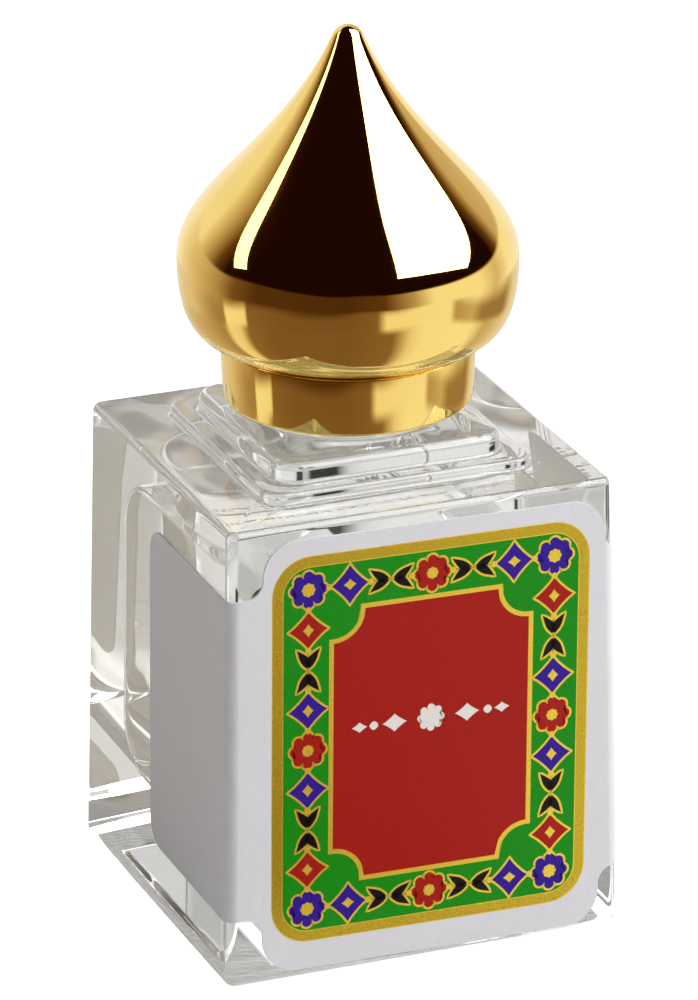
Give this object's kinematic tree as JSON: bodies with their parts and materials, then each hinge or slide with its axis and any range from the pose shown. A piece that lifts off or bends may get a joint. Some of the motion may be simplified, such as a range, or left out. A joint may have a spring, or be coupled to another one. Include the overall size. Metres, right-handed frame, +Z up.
{
  "type": "roll-on fragrance oil bottle",
  "caption": "Square clear glass bottle of fragrance oil with a stepped shoulder, a roll-on fitment, an onion-dome gold screw cap and a wrapped paper label.",
  "frame": {"origin": "middle of the flat ring that the bottle stands on", "axes": "+Z up along the axis of the neck and the cap, -Y out of the front face that carries the label panel, +X to the right of that face"},
  "size_m": [0.0308, 0.0298, 0.0663],
  "materials": {
    "clear_glass": "clear fire-polished flint glass",
    "oil": "clear, nearly colourless oil",
    "label_paper": "coated paper with a satin face",
    "white_polyethylene": "moulded, satin, slightly waxy",
    "steel_ball": "polished steel ball",
    "seal_foam": "fine closed-cell foam",
    "inner_cap_plastic": "moulded, satin",
    "gold_plating": "mirror-bright gold plating"
  },
  "bodies": {
    "bottle": {"glass_bottle": "clear_glass", "fragrance_oil": "oil", "paper_label": "label_paper", "roll_on_housing": "white_polyethylene"},
    "ball": {"roller_ball": "steel_ball"},
    "seal": {"cap_seal": "seal_foam"},
    "cap": {"cap_insert": "inner_cap_plastic", "cap_shell": "gold_plating"}
  },
  "joints": [
    {"name": "cap_lift", "type": "slide", "parent": "bottle", "child": "seal", "axis": [0, 0, 1], "range_m": [0, 0.00423]},
    {"name": "cap_turn", "type": "hinge", "parent": "seal", "child": "cap", "pos_m": [0, 0, 0.049], "axis": [0, 0, 1], "range_deg": [0, 720]},
    {"name": "ball_roll", "type": "hinge", "parent": "bottle", "child": "ball", "pos_m": [0, 0, 0.0508], "axis": [1, 0, 0], "continuous": true}
  ],
  "couplings": [
    {"joint": "cap_lift", "follows": "cap_turn", "m_per_rad": 0.00033688}
  ]
}
